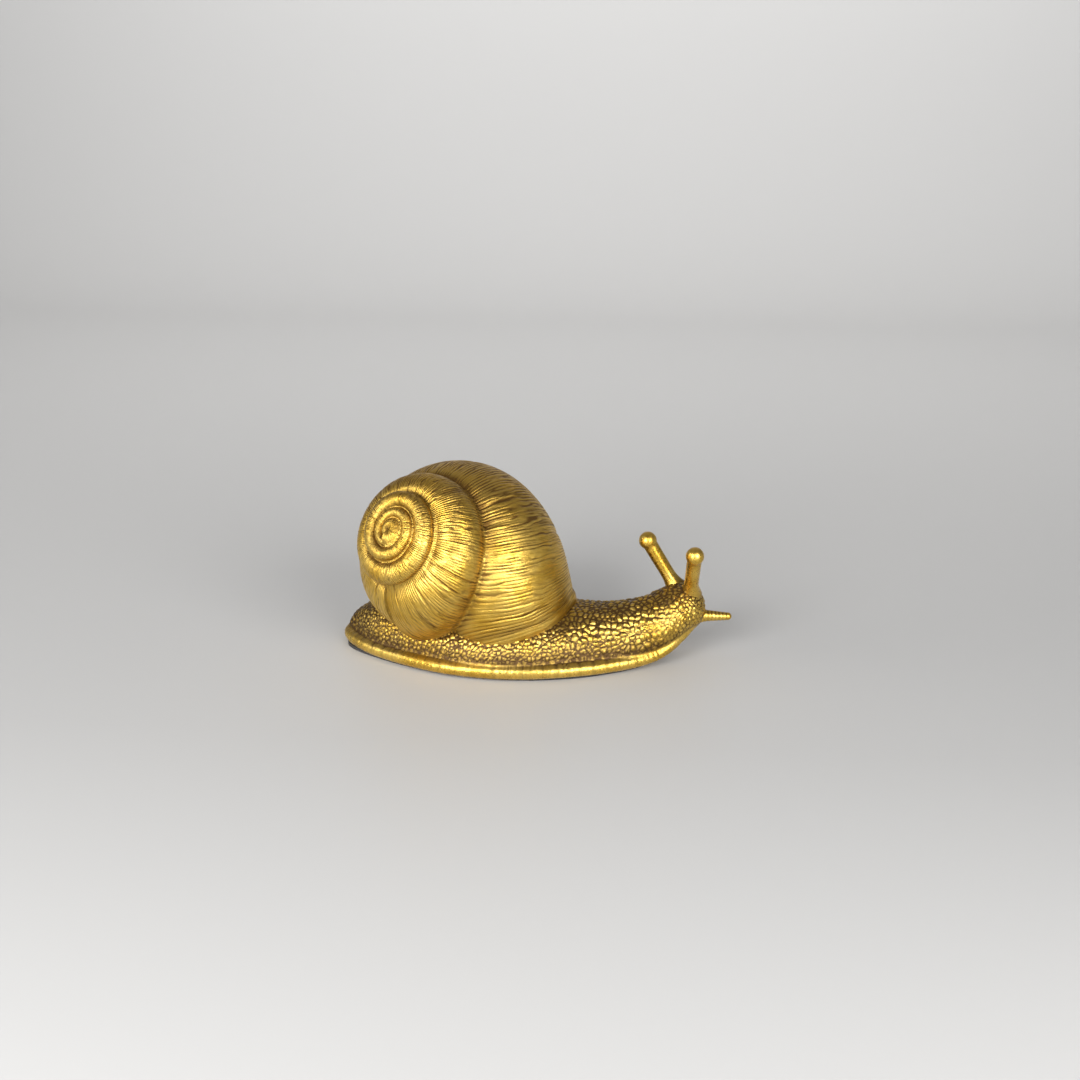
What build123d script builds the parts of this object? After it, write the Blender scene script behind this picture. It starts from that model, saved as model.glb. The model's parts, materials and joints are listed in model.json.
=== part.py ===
from build123d import *
from math import cos, radians, sin, sqrt, tan
import os

# Snail figurine, millimetres and degrees, +Z up, +X towards the head, origin under the middle of the foot.

# Foot and felt pad
foot_length = 133
foot_front_x = 64
foot_width = 58
foot_tip_y = 12
foot_tail_y = 7
foot_tail_width = 41
foot_tail_shoulder_x = -48.5
foot_front_width = 37
foot_front_shoulder_x = 46
lip_height = 5.6
lip_round = 2.4
pad_thickness = 1.2
pad_inset = 4

# Back, from the tail to the neck: sections across the body, from an ellipse at squareness 2 to fuller ones
back_axis_height = 4
tail_reach = 67.5
haunch_x = -64
haunch_y = 12
haunch_width = 13
haunch_height = 12.5
haunch_squareness = 2.1
rump_x = -53
rump_y = 8.5
rump_width = 31
rump_height = 19.5
rump_squareness = 2.3
loin_x = -34
loin_y = 4
loin_width = 43
loin_height = 21.5
loin_squareness = 2.5
waist_x = -10
waist_width = 52.8
waist_height = 21.5
waist_squareness = 2.7
shoulder_x = 14
shoulder_width = 52
shoulder_height = 23.5
shoulder_squareness = 2.5
neck_x = 40
neck_width = 35.6
neck_height = 23.8
neck_squareness = 2.2
nape_x = 57
nape_y = 1.5
nape_width = 24.4
nape_top = 26.5
nape_bottom = -1.5
nape_turn = 20
nape_lift = 10

# Head, turned towards the snail's left
head_x = 71.5
head_y = 7.2
head_z = 20.7
head_radius = 10.5
head_step = 0.4
head_turn = 47

# Shell: sutures wind down a dome round an axis that leans back, to the right and up
apex_x = -40.5
apex_y = -25.5
apex_z = 61.7
axis_heading = 233
axis_tilt = 29.2
mouth_angle = -92.4
whorl_growth = 1.41
whorl_count = 6.15
suture_radius = 33.6
suture_taper = 1.2
suture_drop = 33.3
suture_dome = 2.8
spire_rise = 1.2
dip_span = 0.257
dip_fall = 17.8
base_flare = 0.09
base_fall = 2.53
lip_span = 0.454
lip_start = 0.2
lip_spread = 2.6
lip_fall = 38.1
hub_drop = 62
whorl_bulge = 0.21
spire_bulge = 0.01
bulge_limit = 0.42
base_swing = 86
mouth_swing = 20
mouth_swing_end = 0.14
base_swing_start = 0.4
apex_knob_height = 3
knob_middle_reach = 0.6
knob_middle_rise = 0.75
core_radius = 0.8
nucleus_radius = 1.7

# Shell seat and dowels
seat_height = 7
seat_gap = 0.3
dowel_diameter = 4
dowel_depth = 3.5
dowel_reach = 8
dowel_x = 1
dowel_y = -4
dowel_spacing = 20
dowel_heading = 73

# Eye stalks and feelers, with their tenons and wires
glue_gap = 0.1
stalk_length = 20.9
stalk_diameter = 5.6
stalk_root_diameter = 8.6
stalk_root_length = 7
eye_diameter = 7.3
stalk_forward = 1
stalk_side = 4.8
stalk_lean_back = 7.1
stalk_lean_out = 8.2
stalk_lean_up = 17.8
feeler_length = 12
feeler_diameter = 5.4
feeler_tip_diameter = 3.2
feeler_side = 5.2
feeler_below = 4.1
feeler_splay = 47
tenon_diameter = 3
tenon_depth = 4
wire_diameter = 1.2
wire_depth = 6
root_sink = 2.5

# Frame of the shell: its axis points to the apex
apex = Vector(apex_x, apex_y, apex_z)
axis_level = cos(radians(axis_tilt))
shell_axis = Vector(
    axis_level * cos(radians(axis_heading)), axis_level * sin(radians(axis_heading)), sin(radians(axis_tilt))
)
shell_side = Vector(0, 0, 1).cross(shell_axis).normalized()
shell_up = shell_axis.cross(shell_side)
spire_turns = 3
sectors = 4
sector_steps = 4


def growth(turn):
    """Relative size of the shell a number of turns back from its mouth."""
    last = whorl_growth ** -whorl_count
    return (whorl_growth**-turn - last) / (1 - last)


def suture(turn):
    """Radius and height of the suture, measured from the apex along the axis."""
    size = growth(turn) ** suture_taper
    dip = max(1 - turn / dip_span, 0) ** 2
    return (suture_radius * size, spire_rise - suture_drop * size**suture_dome - dip_fall * dip)


def lower_edge(turn):
    """Where a whorl ends below: at the next suture, or at the base on the last whorl."""
    if turn >= 1:
        return suture(turn - 1)
    held = max(turn, lip_start)
    size = growth(held) / growth(1)
    lip = max(1 - held / lip_span, 0) ** 2
    height = (spire_rise - suture_drop) * size**base_fall - lip_fall * lip
    return (suture_radius * size**base_flare + lip_spread * lip, height)


def whorl_arc(turn):
    """The bulging arc of one whorl, from its suture to its lower edge."""
    start = Vector(*suture(turn))
    end = Vector(*lower_edge(turn))
    bulge = min(whorl_bulge + spire_bulge * turn**3, bulge_limit)
    outward = (end - start).rotate(Axis.Z, 90) * bulge
    return ThreePointArc(start, (start + end) * 0.5 + outward, end)


def base_arc(turn, start, leaving):
    """The base under the last whorl, leaving the lower edge smoothly except near the mouth."""
    end = Vector(core_radius, -hub_drop)
    share = min(max((turn - mouth_swing_end) / (base_swing_start - mouth_swing_end), 0), 1)
    swing = min(leaving.get_angle(end - start), mouth_swing + (base_swing - mouth_swing) * share)
    outward = (end - start).rotate(Axis.Z, 90) * (tan(radians(swing / 2)) / 2)
    return ThreePointArc(start, (start + end) * 0.5 + outward, end)


def shell_plane(turn):
    """Half plane through the axis: x is the radius, y runs along the axis to the apex."""
    angle = radians(mouth_angle + 360 * turn)
    radial = shell_side * cos(angle) + shell_up * sin(angle)
    return Plane(origin=apex, x_dir=radial, z_dir=radial.cross(shell_axis))


# The whole winding form: one turn of lofted sectors, each profile holding all the whorls at that angle
with BuildPart() as winding:
    for sector in range(sectors):
        for step in range(sector_steps + 1):
            turn = (sector + step / sector_steps) / sectors
            with BuildSketch(shell_plane(turn)):
                with BuildLine():
                    knob_end = suture(turn + spire_turns)
                    knob_rise = (apex_knob_height - knob_end[1]) * knob_middle_rise
                    knob_middle = (knob_end[0] * knob_middle_reach, knob_end[1] + knob_rise)
                    ThreePointArc((core_radius, apex_knob_height), knob_middle, knob_end)
                    for whorl in range(spire_turns, -1, -1):
                        arc = whorl_arc(turn + whorl)
                    base_arc(turn, arc @ 1, arc % 1)
                    Line((core_radius, -hub_drop), (core_radius, apex_knob_height))
                make_face()
        loft()
    with BuildSketch(Plane(origin=apex - shell_axis * hub_drop, z_dir=shell_axis)):
        Circle(nucleus_radius)
    extrude(amount=hub_drop)
    with Locations(apex + shell_axis * (apex_knob_height - nucleus_radius)):
        Sphere(nucleus_radius)

winding_centre = winding.part.bounding_box().center()
winding_size = winding.part.bounding_box().size.Z
seat_plane = Plane.XY.offset(seat_height)
dowel_offset = Vector(dowel_spacing / 2, 0).rotate(Axis.Z, dowel_heading)
dowel_places = [Vector(dowel_x, dowel_y) - dowel_offset, Vector(dowel_x, dowel_y) + dowel_offset]

# Shell: the winding cut flat where it sits in the body, drilled for its dowels
with BuildPart() as winding_above_seat:
    add(winding.part)
    split(bisect_by=seat_plane, keep=Keep.TOP)

with BuildPart() as shell:
    add(winding_above_seat.part)
    with Locations(seat_plane):
        with Locations(dowel_places):
            Cylinder(
                dowel_diameter / 2, dowel_reach, align=(Align.CENTER, Align.CENTER, Align.MIN), mode=Mode.SUBTRACT
            )

# The space that the shell needs in the body, a glue gap larger all round
socket_scale = 1 + 2 * seat_gap / winding_size
socket_form = Pos(*winding_centre) * scale(Pos(*(-winding_centre)) * winding.part, by=socket_scale)
with BuildPart() as socket:
    add(socket_form)
    split(bisect_by=seat_plane, keep=Keep.TOP)

# Head directions and the seats of the four tentacles
head_centre = Vector(head_x, head_y, head_z)
ahead = Vector(cos(radians(head_turn)), sin(radians(head_turn)), 0)
to_right = Vector(ahead.Y, -ahead.X, 0)
up = Vector(0, 0, 1)


def stalk_frame(side):
    """Root on the head and direction of an eye stalk, side +1 for the right one."""
    rise = sqrt(head_radius**2 - stalk_forward**2 - stalk_side**2)
    root = head_centre + ahead * stalk_forward + to_right * (side * stalk_side) + up * rise
    lean = ahead * -stalk_lean_back + to_right * (side * stalk_lean_out) + up * stalk_lean_up
    return root, lean.normalized()


def feeler_frame(side):
    """Root on the head and direction of a feeler, side +1 for the right one."""
    reach = sqrt(head_radius**2 - feeler_side**2 - feeler_below**2)
    root = head_centre + ahead * reach + to_right * (side * feeler_side) - up * feeler_below
    splay = radians(feeler_splay)
    return root, ahead * cos(splay) + to_right * (side * sin(splay))


tentacle_frames = {
    "right_eye_stalk": stalk_frame(1),
    "left_eye_stalk": stalk_frame(-1),
    "right_feeler": feeler_frame(1),
    "left_feeler": feeler_frame(-1),
}


# Drillings in the head: a socket for each tenon, with a deeper bore for its wire
with BuildPart() as drillings:
    for root, direction in tentacle_frames.values():
        with BuildSketch(Plane(origin=root - direction * tenon_depth, z_dir=direction)):
            Circle(tenon_diameter / 2 + glue_gap)
        extrude(amount=tenon_depth * 2)
        with BuildSketch(Plane(origin=root - direction * wire_depth, z_dir=direction)):
            Circle(wire_diameter / 2)
        extrude(amount=wire_depth)


def across(x, y, z, turn, lift):
    """Plane across the body, facing forwards, turned to the left and lifted."""
    level = cos(radians(lift))
    facing = Vector(level * cos(radians(turn)), level * sin(radians(turn)), sin(radians(lift)))
    return Plane(origin=(x, y, z), x_dir=(-sin(radians(turn)), cos(radians(turn)), 0), z_dir=facing)


def back_section(side, rise, squareness):
    """Smooth closed outline through the sides, top, bottom and corners of a full ellipse."""
    corner = 0.5 ** (1 / squareness)
    with BuildSketch(Plane.XY) as section:
        with BuildLine():
            Spline(
                (side, 0),
                (side * corner, rise * corner),
                (0, rise),
                (-side * corner, rise * corner),
                (-side, 0),
                (-side * corner, -rise * corner),
                (0, -rise),
                (side * corner, -rise * corner),
                periodic=True,
            )
        make_face()
    return section.sketch


def foot_outline(inset):
    """Smooth closed outline of the foot through its tail, widest places and front, set in all round."""
    front = foot_front_x - inset
    tail = foot_front_x - foot_length + inset
    side = foot_width / 2 - inset
    tail_side = foot_tail_width / 2 - inset
    front_side = foot_front_width / 2 - inset
    with BuildSketch() as outline:
        with BuildLine():
            Spline(
                (tail, foot_tip_y),
                (foot_tail_shoulder_x, foot_tail_y + tail_side),
                (0, side),
                (foot_front_shoulder_x, front_side),
                (front, 0),
                (foot_front_shoulder_x, -front_side),
                (0, -side),
                (foot_tail_shoulder_x, foot_tail_y - tail_side),
                periodic=True,
            )
        make_face()
    return outline.sketch


# Foot: a slab on the pad, rolled round at its lip
with BuildPart() as foot:
    with BuildSketch(Plane.XY.offset(pad_thickness)):
        add(foot_outline(0))
    extrude(amount=lip_height)
    fillet(foot.faces().sort_by(Axis.Z)[-1].edges(), lip_round)
    fillet(foot.faces().sort_by(Axis.Z)[0].edges(), lip_round / 2)

# Body: the foot, back, neck and head in one casting, with the shell's seat and the drilled sockets
back_stations = [
    (haunch_x, haunch_y, haunch_width, haunch_height, haunch_squareness),
    (rump_x, rump_y, rump_width, rump_height, rump_squareness),
    (loin_x, loin_y, loin_width, loin_height, loin_squareness),
    (waist_x, 0, waist_width, waist_height, waist_squareness),
    (shoulder_x, 0, shoulder_width, shoulder_height, shoulder_squareness),
    (neck_x, 0, neck_width, neck_height, neck_squareness),
]
with BuildPart() as body:
    for station_x, station_y, station_width, station_height, squareness in back_stations:
        with BuildSketch(across(station_x, station_y, back_axis_height, 0, 0)):
            add(back_section(station_width / 2, station_height - back_axis_height, squareness))
    with BuildSketch(across(nape_x, nape_y, (nape_top + nape_bottom) / 2, nape_turn, nape_lift)):
        Ellipse(nape_width / 2, (nape_top - nape_bottom) / 2)
    with BuildSketch(across(head_x, head_y, head_z, head_turn, 0)):
        Circle(head_radius - head_step)
    loft(sections=[Vertex(-tail_reach, foot_tip_y, back_axis_height), *body.pending_faces])
    with Locations(Location(head_centre, (0, 0, head_turn + 180))):
        Sphere(head_radius)
    split(bisect_by=Plane.XY.offset(pad_thickness), keep=Keep.TOP)
    add(foot.part)
    add(socket.part, mode=Mode.SUBTRACT)
    add(winding_above_seat.part, mode=Mode.SUBTRACT)
    with Locations(seat_plane):
        with Locations(dowel_places):
            Cylinder(
                dowel_diameter / 2, dowel_depth, align=(Align.CENTER, Align.CENTER, Align.MAX), mode=Mode.SUBTRACT
            )
    add(drillings.part, mode=Mode.SUBTRACT)


def tentacle_plane(root, direction):
    """Plane for a tentacle's profile: x runs along it from its root, y is the radius."""
    return Plane(origin=root, x_dir=direction, z_dir=direction.cross(up).normalized())


def wire_of(name, end):
    """Straight wire from the head's bore up into a tentacle."""
    root, direction = tentacle_frames[name]
    with BuildPart() as wire:
        with BuildSketch(Plane(origin=root - direction * wire_depth, z_dir=direction)):
            Circle(wire_diameter / 2)
        extrude(amount=wire_depth + end)
    return wire


def eye_stalk(name, wire):
    """Ball-ended stalk with a flared root that fits the head and a tenon in its socket."""
    root, direction = tentacle_frames[name]
    with BuildPart() as stalk:
        with BuildSketch(tentacle_plane(root, direction)):
            with BuildLine():
                Polyline((stalk_length, 0), (-tenon_depth, 0), (-tenon_depth, tenon_diameter / 2))
                Line((-tenon_depth, tenon_diameter / 2), (-root_sink, tenon_diameter / 2))
                Line((-root_sink, tenon_diameter / 2), (-root_sink, stalk_root_diameter / 2))
                flare = TangentArc(
                    (stalk_root_length, stalk_diameter / 2),
                    (-root_sink, stalk_root_diameter / 2),
                    tangent=(-1, 0),
                )
                Line((stalk_length, stalk_diameter / 2), flare @ 0)
                Line((stalk_length, 0), (stalk_length, stalk_diameter / 2))
            make_face()
        revolve(axis=Axis(root, direction))
        with Locations(root + direction * stalk_length):
            Sphere(eye_diameter / 2)
        add(wire.part, mode=Mode.SUBTRACT)
        add(body.part, mode=Mode.SUBTRACT)
    return stalk


def feeler(name, wire):
    """Short tapering feeler with a round tip and a tenon in its socket."""
    root, direction = tentacle_frames[name]
    tip_radius = feeler_tip_diameter / 2
    tip_centre = feeler_length - tip_radius
    with BuildPart() as tentacle:
        with BuildSketch(tentacle_plane(root, direction)):
            with BuildLine():
                Polyline((tip_centre, 0), (-tenon_depth, 0), (-tenon_depth, tenon_diameter / 2))
                Line((-tenon_depth, tenon_diameter / 2), (-root_sink, tenon_diameter / 2))
                Line((-root_sink, tenon_diameter / 2), (-root_sink, feeler_diameter / 2))
                Line((-root_sink, feeler_diameter / 2), (tip_centre, tip_radius))
                Line((tip_centre, tip_radius), (tip_centre, 0))
            make_face()
        revolve(axis=Axis(root, direction))
        with Locations(root + direction * tip_centre):
            Sphere(tip_radius)
        add(wire.part, mode=Mode.SUBTRACT)
        add(body.part, mode=Mode.SUBTRACT)
    return tentacle


# Dowels that pin the shell to the body
with BuildPart() as shell_dowels:
    with Locations(seat_plane.offset(-dowel_depth)):
        with Locations(dowel_places):
            Cylinder(
                dowel_diameter / 2, dowel_depth + dowel_reach, align=(Align.CENTER, Align.CENTER, Align.MIN)
            )

# Felt pad glued under the foot
with BuildPart() as felt_pad:
    with BuildSketch():
        add(foot_outline(pad_inset))
    extrude(amount=pad_thickness)

pieces = {"body": body, "shell": shell, "shell_dowels": shell_dowels, "felt_pad": felt_pad}
for name in tentacle_frames:
    is_stalk = name.endswith("stalk")
    wire = wire_of(name, stalk_length if is_stalk else feeler_length - feeler_tip_diameter)
    pieces[name] = eye_stalk(name, wire) if is_stalk else feeler(name, wire)
    pieces[name + "_wire"] = wire

os.makedirs("parts", exist_ok=True)
for name, piece in pieces.items():
    piece.part.label = name
    export_step(piece.part, f"parts/{name}.step")
    print(name, len(piece.part.solids()), "solids", round(piece.part.volume), "mm3")
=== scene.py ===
import json
import math

import bmesh
import bpy
import numpy as np
from mathutils import Matrix, Vector
from mathutils.kdtree import KDTree

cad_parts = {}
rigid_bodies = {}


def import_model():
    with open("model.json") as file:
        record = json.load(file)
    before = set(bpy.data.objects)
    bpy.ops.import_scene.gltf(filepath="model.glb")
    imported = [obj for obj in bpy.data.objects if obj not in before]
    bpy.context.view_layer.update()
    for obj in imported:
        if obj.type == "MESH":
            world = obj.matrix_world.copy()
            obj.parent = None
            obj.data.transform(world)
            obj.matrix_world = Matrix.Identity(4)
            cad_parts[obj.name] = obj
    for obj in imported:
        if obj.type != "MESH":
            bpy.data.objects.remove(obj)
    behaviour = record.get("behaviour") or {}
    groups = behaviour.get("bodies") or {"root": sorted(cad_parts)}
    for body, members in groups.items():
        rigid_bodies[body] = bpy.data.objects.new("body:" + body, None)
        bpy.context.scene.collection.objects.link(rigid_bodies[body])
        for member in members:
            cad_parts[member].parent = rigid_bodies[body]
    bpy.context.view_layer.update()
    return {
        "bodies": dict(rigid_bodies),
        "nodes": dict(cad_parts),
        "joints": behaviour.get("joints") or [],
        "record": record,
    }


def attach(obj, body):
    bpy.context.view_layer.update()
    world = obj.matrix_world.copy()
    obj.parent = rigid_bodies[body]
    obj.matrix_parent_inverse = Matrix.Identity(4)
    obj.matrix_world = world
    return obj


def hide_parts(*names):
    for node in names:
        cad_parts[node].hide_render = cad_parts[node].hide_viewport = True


# Lengths are in millimetres, angles in degrees and places along the shell in turns from its mouth,
# unless a line says otherwise
mm = 0.001
fullTurn = 2.0 * math.pi


class Sock:

    def __init__(self, tree, socket):
        self.tree, self.socket = tree, socket

    def math(self, operation, *others):
        made = self.tree.nodes.new("ShaderNodeMath")
        made.operation = operation
        for slot, value in zip(made.inputs, (self, *others)):
            feed(self.tree, slot, value)
        return Sock(self.tree, made.outputs[0])

    def __add__(self, other):
        return self.math("ADD", other)

    def __sub__(self, other):
        return self.math("SUBTRACT", other)

    def __mul__(self, other):
        return self.math("MULTIPLY", other)

    def __truediv__(self, other):
        return self.math("DIVIDE", other)

    def __pow__(self, other):
        return self.math("POWER", other)

    def __neg__(self):
        return self.math("MULTIPLY", -1.0)

    def __radd__(self, other):
        return self.math("ADD", other)

    def __rmul__(self, other):
        return self.math("MULTIPLY", other)

    def __rsub__(self, other):
        return (-self).math("ADD", other)

    def least(self, other):
        return self.math("MINIMUM", other)

    def most(self, other):
        return self.math("MAXIMUM", other)

    def sin(self):
        return self.math("SINE")

    def cos(self):
        return self.math("COSINE")

    def smooth(self, low, high):
        settings = {"interpolation_type": "SMOOTHSTEP"}
        return node(self.tree, "ShaderNodeMapRange", settings, Value=self, FromMin=low, FromMax=high)

    def mixed(self, low, high):
        return self * (high - low) + low


def feed(tree, slot, value):
    if isinstance(value, Sock):
        tree.links.new(value.socket, slot)
    else:
        slot.default_value = value


def node(tree, kind, settings=None, output=0, **inputs):
    made = tree.nodes.new(kind)
    for name, value in (settings or {}).items():
        setattr(made, name, value)
    for name, value in inputs.items():
        slot = next(s for s in made.inputs if s.enabled and s.name.replace(" ", "") == name)
        for given in value if isinstance(value, list) else [value]:
            feed(tree, slot, given)
    return Sock(tree, [s for s in made.outputs if s.enabled][output])


def combine(tree, x, y, z):
    return node(tree, "ShaderNodeCombineXYZ", X=x, Y=y, Z=z)


def separate(tree, vector):
    made = node(tree, "ShaderNodeSeparateXYZ", Vector=vector)
    return [Sock(tree, s) for s in made.socket.node.outputs]


def noise(tree, place, scale, detail, roughness):
    return node(
        tree, "ShaderNodeTexNoise", Vector=place, Scale=scale, Detail=detail, Roughness=roughness
    )


def newTree(name, sizes):
    tree = bpy.data.node_groups.new(name, "GeometryNodeTree")
    tree.interface.new_socket("Geometry", in_out="INPUT", socket_type="NodeSocketGeometry")
    for key in sizes:
        tree.interface.new_socket(key, in_out="INPUT", socket_type="NodeSocketFloat")
    tree.interface.new_socket("Geometry", in_out="OUTPUT", socket_type="NodeSocketGeometry")
    entry = tree.nodes.new("NodeGroupInput")
    return tree, {s.name: Sock(tree, s) for s in entry.outputs if s.name}


def stored(tree, geometry, name, value, domain="POINT"):
    settings = {"data_type": "FLOAT", "domain": domain}
    return node(
        tree, "GeometryNodeStoreNamedAttribute", settings, Geometry=geometry, Name=name, Value=value
    )


def named(tree, name):
    return node(tree, "GeometryNodeInputNamedAttribute", {"data_type": "FLOAT"}, Name=name)


def pushed(tree, geometry, lift):
    away = node(tree, "GeometryNodeInputNormal")
    push = node(tree, "ShaderNodeVectorMath", {"operation": "SCALE"}, Vector=away, Scale=lift)
    return node(tree, "GeometryNodeSetPosition", Geometry=geometry, Offset=push)


def finishTree(tree, geometry, material):
    real = node(tree, "GeometryNodeRealizeInstances", Geometry=geometry)
    dressed = node(tree, "GeometryNodeSetMaterial", Geometry=real, Material=material)
    feed(tree, tree.nodes.new("NodeGroupOutput").inputs[0], dressed)


def applied(obj):
    bpy.context.view_layer.update()
    view = bpy.context.evaluated_depsgraph_get()
    mesh = bpy.data.meshes.new_from_object(obj.evaluated_get(view), depsgraph=view)
    obj.modifiers.clear()
    obj.data = mesh
    return obj


def grown(obj, tree, sizes):
    modifier = obj.modifiers.new(tree.name, "NODES")
    modifier.node_group = tree
    for item in tree.interface.items_tree:
        if item.in_out == "INPUT" and item.name in sizes:
            modifier[item.identifier] = sizes[item.name]
    return applied(obj)


def linked(name, data):
    obj = bpy.data.objects.new(name, data)
    bpy.context.scene.collection.objects.link(obj)
    return obj


def newPiece(name, points=(), faces=()):
    mesh = bpy.data.meshes.new(name)
    mesh.from_pydata([tuple(p) for p in points], [], [tuple(f) for f in faces])
    return linked(name, mesh)


def measured(mesh, name, values):
    layer = mesh.attributes.new(name, "FLOAT", "POINT")
    layer.data.foreach_set("value", np.asarray(values))


def smoothShaded(obj):
    obj.data.polygons.foreach_set("use_smooth", np.ones(len(obj.data.polygons), dtype=bool))
    obj.data.update()


def closed(obj, weld):
    work = bmesh.new()
    work.from_mesh(obj.data)
    bmesh.ops.remove_doubles(work, verts=work.verts, dist=weld)
    bmesh.ops.dissolve_degenerate(work, dist=weld * 0.5, edges=work.edges)
    bmesh.ops.holes_fill(work, edges=[e for e in work.edges if e.is_boundary], sides=0)
    bmesh.ops.recalc_face_normals(work, faces=work.faces)
    work.to_mesh(obj.data)
    work.free()
    obj.data.update()


def cutAt(obj, height):
    work = bmesh.new()
    work.from_mesh(obj.data)
    bmesh.ops.bisect_plane(
        work, geom=[*work.verts, *work.edges, *work.faces], dist=1e-7,
        plane_co=(0, 0, height), plane_no=(0, 0, 1), clear_inner=True,
    )
    work.to_mesh(obj.data)
    work.free()


def direction(degrees):
    return Vector((math.cos(math.radians(degrees)), math.sin(math.radians(degrees)), 0.0))


# Materials

goldLook = {
    "brightGold": (0.88, 0.60, 0.13),
    "deepGold": (0.60, 0.36, 0.045),
    "brown": (0.13, 0.065, 0.011),
    "mottleScale": 90.0,  # noise scales are per metre
    "speckScale": 900.0,
    "goldRange": (0.3, 0.7),  # the part of the mottle from deep to bright gold
    "mottleRange": (0.42, 0.78),  # the part of the mottle that browns
    "topRange": (0.25, 0.85),  # how far a face looks up where painted shade browns the tops
    "topPatches": (0.1, 0.5),
    "speckRange": (0.3, 0.7),  # from polished to dull
    "grooveWash": 1.0,
    "mottleWash": 0.25,
    "topWash": 0.55,
    "grooveDulling": 0.15,
    "grain": 0.12,
    "polish": 0.2,
    "dull": 0.36,
    "washRoughness": 0.2,
    "roughest": 0.9,
}

bodyLook = {**goldLook, "brown": (0.07, 0.034, 0.006), "grooveDulling": 0.3}

shellLook = {
    **goldLook,
    "mottleWash": 0.28,
    "polish": 0.27,
    "dull": 0.42,
    "ribCrowding": 0.9,  # the finest ribs near the mouth stand closer here than in the mesh
    "ribFade": (0.34, 0.45),  # further back the mesh's own ribs take over
    "ribFading": 0.6,
}

tentacleLook = {**goldLook, "mottleWash": 0.15}

feltLook = {
    "colour": (0.045, 0.042, 0.04), "rough": 0.95, "metallic": 0.0, "grain": 0.5, "grainScale": 1500.0
}

wireLook = {
    "colour": (0.55, 0.54, 0.52), "rough": 0.35, "metallic": 1.0, "grain": 0.2, "grainScale": 700.0
}


def newMaterial(name):
    material = bpy.data.materials.new(name)
    material.use_nodes = True
    tree = material.node_tree
    return material, tree, tree.nodes["Principled BSDF"]


def mixColour(tree, factor, low, high):
    low, high = [c if isinstance(c, Sock) else (*c, 1.0) for c in (low, high)]
    return node(tree, "ShaderNodeMix", {"data_type": "RGBA"}, Factor=factor, A=low, B=high)


def readBack(tree, name):
    return node(tree, "ShaderNodeAttribute", {"attribute_name": name}, output=2)


def goldMaterial(name, look):
    material, tree, shader = newMaterial(name)
    place = node(tree, "ShaderNodeTexCoord", output=3)
    groove = readBack(tree, "groove")
    mottle = noise(tree, place, look["mottleScale"], 5.0, 0.6)
    speck = noise(tree, place, look["speckScale"], 3.0, 0.6)
    facing = separate(tree, node(tree, "ShaderNodeNewGeometry", output=1))[2]
    # Faces that look up turn brown in patches: painted shade, a dark reflection from above painted on
    # the tops
    top = facing.smooth(*look["topRange"]) * mottle.smooth(*look["topPatches"]) * look["topWash"]
    height = speck * look["grain"]
    if "ribCrowding" in look:
        turn, across = readBack(tree, "faceTurn"), readBack(tree, "faceAcross")
        leaned, _, ribs, dark = ribbing(tree, turn, across, shellForm["winding"], look["ribCrowding"])
        height = height + ribs * (1.0 - leaned.smooth(*look["ribFade"]) * look["ribFading"])
        groove = groove + dark
    browned = mottle.smooth(*look["mottleRange"]) * look["mottleWash"]
    # The brown mixes patina in the grooves and random mottling with painted shade: on the tops, low on
    # the body's flanks and in the spire's deepened sutures
    washAndShade = (groove * look["grooveWash"] + browned + top).least(1.0)
    gold = mixColour(tree, mottle.smooth(*look["goldRange"]), look["deepGold"], look["brightGold"])
    rough = speck.smooth(*look["speckRange"]).mixed(look["polish"], look["dull"])
    rough = rough + washAndShade * look["washRoughness"]
    feed(tree, shader.inputs["Base Color"], mixColour(tree, washAndShade, gold, look["brown"]))
    feed(tree, shader.inputs["Roughness"], rough.least(look["roughest"]))
    feed(tree, shader.inputs["Metallic"], 1.0 - washAndShade * look["grooveDulling"])
    bump = node(tree, "ShaderNodeBump", Strength=1.0, Distance=mm, Height=height)
    feed(tree, shader.inputs["Normal"], bump)
    return material


def plainMaterial(name, look):
    material, tree, shader = newMaterial(name)
    place = node(tree, "ShaderNodeTexCoord", output=3)
    grain = noise(tree, place, look["grainScale"], 4.0, 0.5)
    dark = tuple(c * (1.0 - look["grain"]) for c in look["colour"])
    feed(tree, shader.inputs["Base Color"], mixColour(tree, grain, dark, look["colour"]))
    feed(tree, shader.inputs["Roughness"], look["rough"])
    feed(tree, shader.inputs["Metallic"], look["metallic"])
    return material


# Shell

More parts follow.
